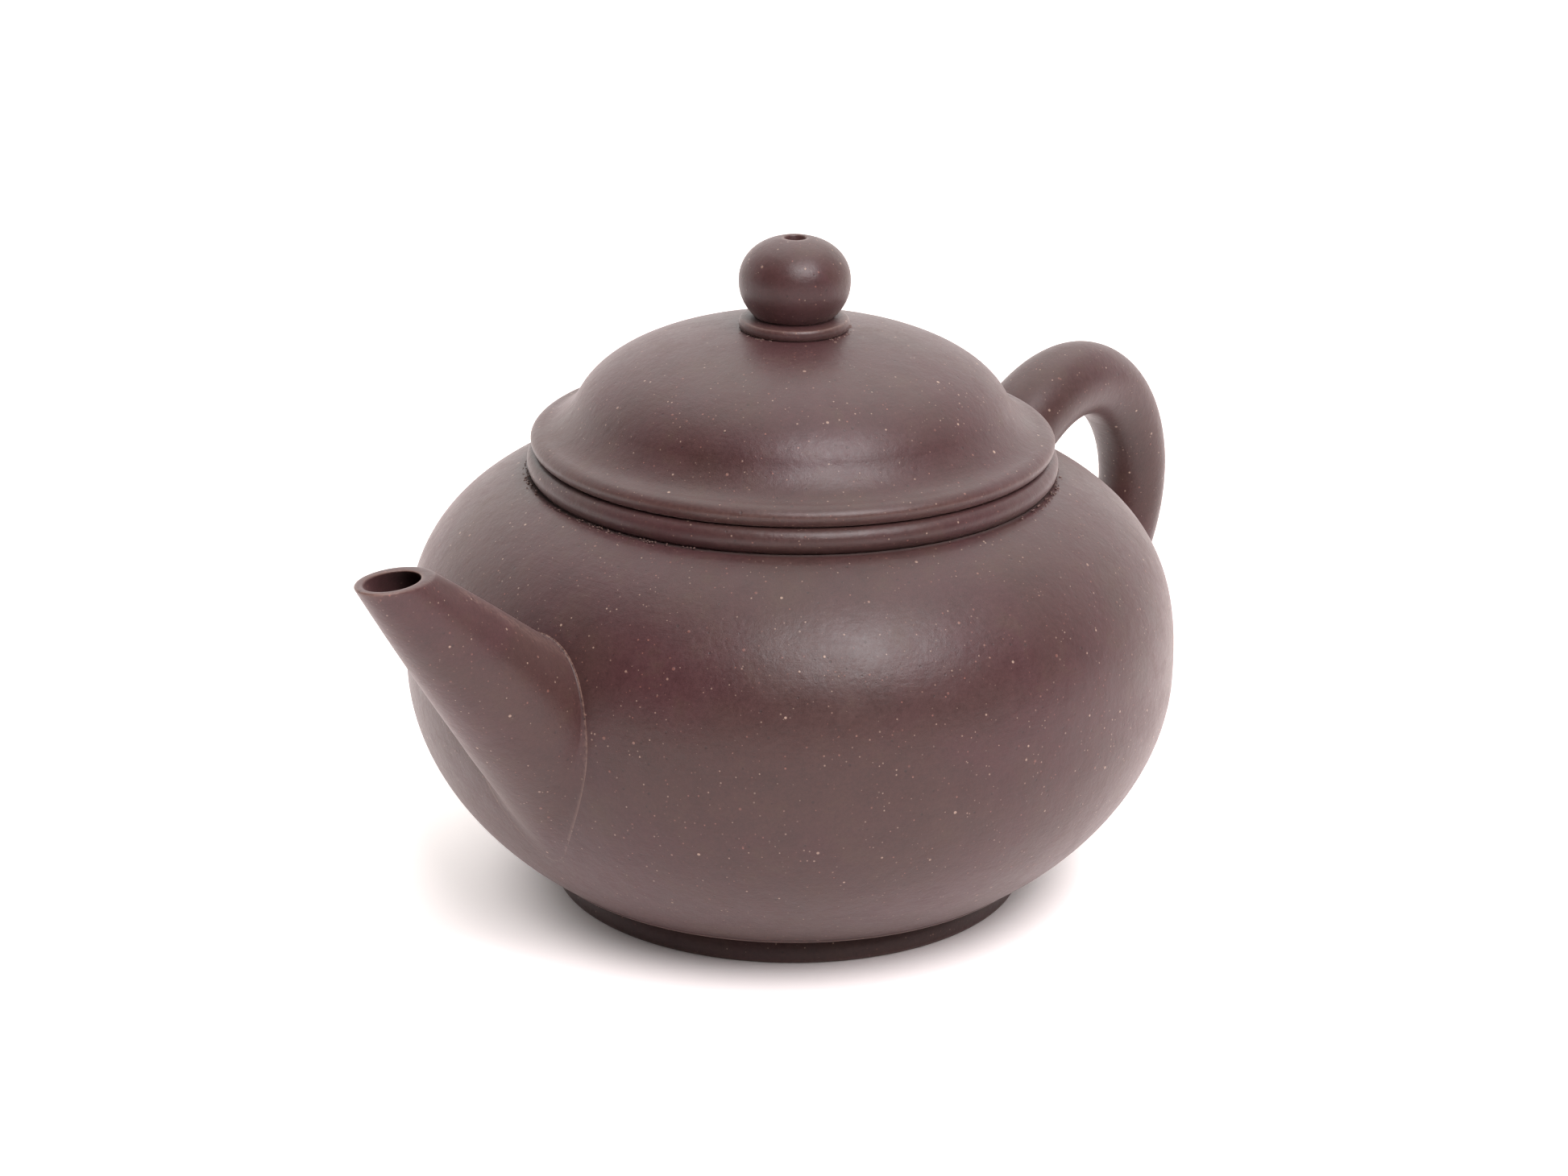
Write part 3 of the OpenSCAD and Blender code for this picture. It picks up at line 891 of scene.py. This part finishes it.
# these three keep their own mesh
for node, material in {"base_disc": footClay, "mouth_disc": innerClay, "strainer": innerClay}.items():
    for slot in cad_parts[node].material_slots:
        slot.material = material

# floor, light and camera

stage = {
    "floorSize": 4.0,
    "floorShade": shade(0.92, 0.86, 0.85),
    "floorSpeck": shade(0.86, 0.80, 0.79),
    "specksPerMetre": 900.0,
    "paintedFloorLight": shade(0.36, 0.345, 0.340),    # painted light: the floor glows, though no lamp is there
    "paintedShadowCore": 0.022,        # painted shadow: the glow is off up to here, in metres from the pot's axis
    "paintedShadowEdge": 0.033,          # and it is full from here, where the painted shadow ends
}


def makeFloor():
    board = Board(bpy.data.materials.new("floor"))
    position = board.add("ShaderNodeTexCoord", {}, {}, output="Object")
    speckle = board.noise(position, stage["specksPerMetre"], 2.0)
    colour = board.mix(speckle.between(0.4, 0.6) * 0.15, stage["floorShade"], stage["floorSpeck"])
    away = board.add("ShaderNodeVectorMath", {"operation": "LENGTH"}, {0: position}, output="Value")
    # painted light on the floor, with a painted contact shadow left round the pot's foot
    paintedFloorLight = board.mix(away.between(stage["paintedShadowCore"], stage["paintedShadowEdge"]), shade(0, 0, 0), stage["paintedFloorLight"])
    surface = board.add(
        "ShaderNodeBsdfPrincipled",
        {},
        {"Base Color": colour, "Roughness": 0.7, "Emission Color": paintedFloorLight, "Emission Strength": 1.0},
    )
    board.add("ShaderNodeOutputMaterial", {}, {"Surface": surface})
    shape = bmesh.new()
    bmesh.ops.create_grid(shape, x_segments=1, y_segments=1, size=stage["floorSize"] / 2)
    mesh = bpy.data.meshes.new("floor")
    shape.to_mesh(mesh)
    shape.free()
    mesh.materials.append(board.owner)
    floor = bpy.data.objects.new("floor", mesh)
    bpy.context.scene.collection.objects.link(floor)


lights = {
    # name: place, aimed at, width, depth, power, colour
    "softbox": ((0.20, 0.50, 0.72), (0, 0, 0.03), 0.55, 0.55, 11.6, (1.0, 0.96, 0.98)),
    "overhead": ((-0.25, -0.2, 0.9), (0, 0, 0.03), 1.0, 1.0, 4.0, (1.0, 1.0, 0.95)),
}
studio = {
    "front": shade(0.020, 0.0197, 0.0194),    # the room on the camera's side
    "back": shade(1.60, 1.58, 1.55),          # and behind the pot
    "facing": (-0.766, -0.643, 0.25),
}


def makeLights():
    for name, (place, aim, width, depth, power, colour) in lights.items():
        lamp = bpy.data.lights.new(name, "AREA")
        lamp.shape = "RECTANGLE"
        lamp.size = width
        lamp.size_y = depth
        lamp.energy = power
        lamp.color = colour
        light = bpy.data.objects.new(name, lamp)
        light.location = place
        light.rotation_euler = (Vector(aim) - Vector(place)).to_track_quat("-Z", "Y").to_euler()
        bpy.context.scene.collection.objects.link(light)
    world = bpy.data.worlds.new("studio")
    bpy.context.scene.world = world
    board = Board(world)
    way = board.add("ShaderNodeTexCoord", {}, {}, output="Generated")
    dot = {"operation": "DOT_PRODUCT"}
    behind = board.add("ShaderNodeVectorMath", dot, {0: way, 1: studio["facing"]}, output="Value")
    colour = board.mix(behind.between(-0.25, 0.75), studio["front"], studio["back"])
    light = board.add("ShaderNodeBackground", {}, {"Color": colour, "Strength": 1.0})
    board.add("ShaderNodeOutputWorld", {}, {"Surface": light})


camera = {
    "distance": 360.0,      # along the ground, from the pot's axis
    "height": 161.6,
    "round": 40.0,          # degrees from the spout, round the pot
    "pitch": 0.347,
    "yaw": -0.002,
    "roll": 0.012,
    "lens": 84.3,
}


def makeCamera():
    away = math.radians(camera["round"])
    out = camera["distance"]
    place = Vector((out * math.cos(away), out * math.sin(away), camera["height"])) * mm
    flat = Vector((-math.cos(away), -math.sin(away), 0))
    flat.rotate(Matrix.Rotation(-camera["yaw"], 3, "Z"))
    forward = flat * math.cos(camera["pitch"]) - Vector((0, 0, math.sin(camera["pitch"])))
    right = forward.cross(Vector((0, 0, 1))).normalized()
    up = right.cross(forward)
    turn, lift = math.cos(camera["roll"]), math.sin(camera["roll"])
    rightTurned = right * turn + up * lift
    upTurned = up * turn - right * lift
    pose = Matrix((rightTurned, upTurned, -forward)).transposed().to_4x4()
    pose.translation = place
    eye = bpy.data.cameras.new("camera")
    eye.lens = camera["lens"]
    eye.sensor_width = 36.0
    eye.clip_start = 0.01
    viewer = bpy.data.objects.new("camera", eye)
    viewer.matrix_world = pose
    bpy.context.scene.collection.objects.link(viewer)
    bpy.context.scene.camera = viewer


print("stage")
makeFloor()
makeLights()
makeCamera()
bpy.context.scene.view_settings.view_transform = "Standard"
